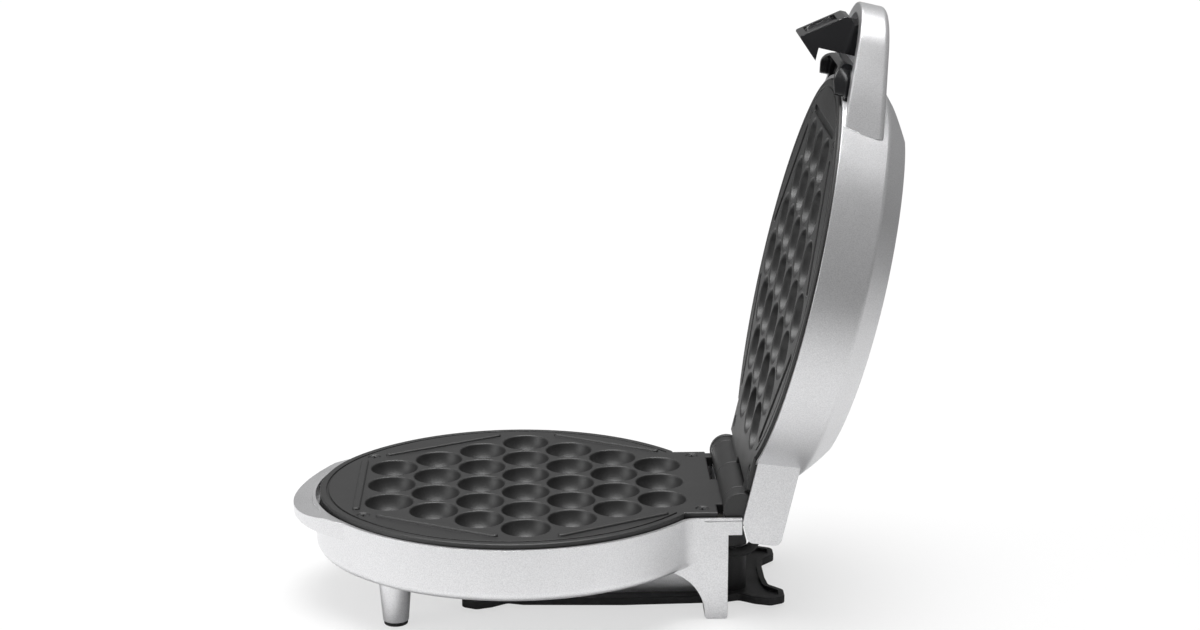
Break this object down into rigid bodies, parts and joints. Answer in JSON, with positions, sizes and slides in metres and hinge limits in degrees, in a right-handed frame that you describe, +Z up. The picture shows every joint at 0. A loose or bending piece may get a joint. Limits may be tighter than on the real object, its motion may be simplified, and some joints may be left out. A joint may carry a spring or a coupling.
{
  "type": "bubble waffle maker",
  "caption": "Countertop bubble waffle maker, standing open: round cavities in both dark plates, silver housings, loop handle with a latch, and a cord winder under the base.",
  "frame": {"origin": "on the table, under the middle of the open machine's outline", "axes": "+X from the handle to the hinge, +Y across the machine, +Z up from the table"},
  "size_m": [0.3112, 0.1868, 0.3088],
  "materials": {
    "silver_plastic": "satin",
    "coated_aluminium": "satin",
    "black_plastic": "matte",
    "gloss_black_plastic": "gloss",
    "black_rubber": "matte",
    "bare_aluminium": "satin",
    "element_sheath": "satin",
    "ivory_plastic": "matte",
    "red_lens": "gloss",
    "clear_lamp": "gloss",
    "steel": "satin"
  },
  "bodies": {
    "base": {"base_shell": "silver_plastic", "bottom_cover": "silver_plastic", "bottom_cover_screws": "steel", "cord_spool": "silver_plastic", "cord_winder": "black_plastic", "winder_screws": "steel", "front_feet": "silver_plastic", "front_foot_screws": "steel", "front_foot_pads": "black_rubber", "rear_foot_pads": "black_rubber", "cord_inlet": "black_plastic", "conduit_gland_base": "black_plastic", "conduit": "black_rubber", "lower_plate": "coated_aluminium", "lower_plate_screws": "steel", "lower_element": "element_sheath", "lower_reflector": "bare_aluminium", "lower_reflector_screws": "steel", "lower_thermostat": "ivory_plastic", "thermal_fuse": "ivory_plastic", "terminal_block": "ivory_plastic", "hinge_pin": "steel", "hinge_cap_base": "black_plastic"},
    "lid": {"hinge_cap_lid": "black_plastic", "lid_shell": "silver_plastic", "upper_plate": "coated_aluminium", "upper_plate_screws": "steel", "upper_element": "element_sheath", "upper_reflector": "bare_aluminium", "upper_reflector_screws": "steel", "upper_thermostat": "ivory_plastic", "indicator_lenses": "red_lens", "indicator_lamps": "clear_lamp", "conduit_gland_lid": "black_plastic", "handle_loop": "silver_plastic", "thumb_guard": "gloss_black_plastic", "latch_pin": "steel", "latch_spring": "steel"},
    "latch": {"latch_lever": "gloss_black_plastic"}
  },
  "joints": [
    {"name": "lid_hinge", "type": "hinge", "parent": "base", "child": "lid", "pos_m": [0.07537, 0, 0.0581], "axis": [0, -1, 0], "range_deg": [0, 102.9], "deforming": ["conduit"]},
    {"name": "latch_hinge", "type": "hinge", "parent": "lid", "child": "latch", "pos_m": [0.13808, 0, 0.29652], "axis": [0, 1, 0], "range_deg": [0, 18], "stiffness_Nm_per_rad": 0.03, "springref_deg": -20.05}
  ]
}
